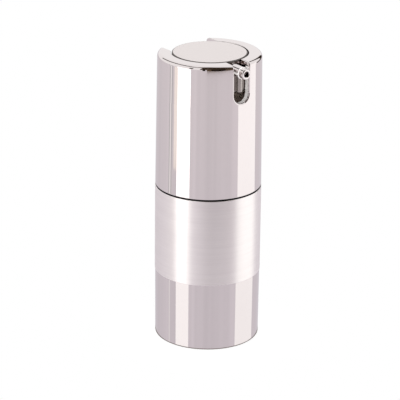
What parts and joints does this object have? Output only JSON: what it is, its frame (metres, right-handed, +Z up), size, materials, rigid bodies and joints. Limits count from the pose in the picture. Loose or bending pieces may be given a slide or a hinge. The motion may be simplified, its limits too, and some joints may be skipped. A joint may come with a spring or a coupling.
{
  "type": "airless pump bottle",
  "caption": "Slim round airless pump bottle with a mirror turning collar, a flush press button, a side nozzle in a slot and a brushed lower band.",
  "frame": {"origin": "centre of the flat underside, on the axis of the bottle", "axes": "+Z up along the axis towards the button, -Y the way the nozzle faces, +X to the nozzle's left as it looks at you"},
  "size_m": [0.033, 0.0345, 0.092],
  "materials": {
    "mirror_plastic": "metal-plated mirror",
    "brushed_aluminium": "brushed round the axis",
    "plate_aluminium": "polished",
    "black_plastic": "moulded satin",
    "white_plastic": "moulded natural",
    "piston_plastic": "moulded soft",
    "seal_rubber": "moulded",
    "spring_steel": "drawn wire"
  },
  "bodies": {
    "root": {"outer_shell": "mirror_plastic", "brushed_band": "brushed_aluminium", "base_collar": "black_plastic", "container": "white_plastic", "base_plug": "white_plastic", "neck_gasket": "seal_rubber", "screw_closure": "white_plastic", "pump_housing": "white_plastic", "ball_cage": "white_plastic", "pump_cap": "white_plastic", "return_spring": "spring_steel"},
    "collar": {"outer_sleeve": "mirror_plastic", "inner_collar": "black_plastic"},
    "head": {"actuator": "mirror_plastic", "button_plate": "plate_aluminium", "nozzle_tip": "mirror_plastic", "stem": "white_plastic", "piston_rod": "white_plastic"},
    "follower": {"follower_piston": "piston_plastic"},
    "valve_ball": {"inlet_ball": "spring_steel"},
    "seal": {"dosing_seal": "seal_rubber"}
  },
  "joints": [
    {"name": "collar_turn", "type": "hinge", "parent": "root", "child": "collar", "pos_m": [0, 0, 0.05], "axis": [0, 0, 1], "range_deg": [0, 90]},
    {"name": "button_press", "type": "slide", "parent": "collar", "child": "head", "axis": [0, 0, -1], "range_m": [0, 0.003], "stiffness_N_per_m": 1200, "springref_m": -0.004, "deforming": ["return_spring"]},
    {"name": "follower_rise", "type": "slide", "parent": "root", "child": "follower", "axis": [0, 0, 1], "range_m": [0, 0.0292]},
    {"name": "ball_lift", "type": "slide", "parent": "root", "child": "valve_ball", "axis": [0, 0, 1], "range_m": [0, 0.0008]},
    {"name": "seal_slip", "type": "slide", "parent": "head", "child": "seal", "axis": [0, 0, 1], "range_m": [0, 0.0009]}
  ]
}
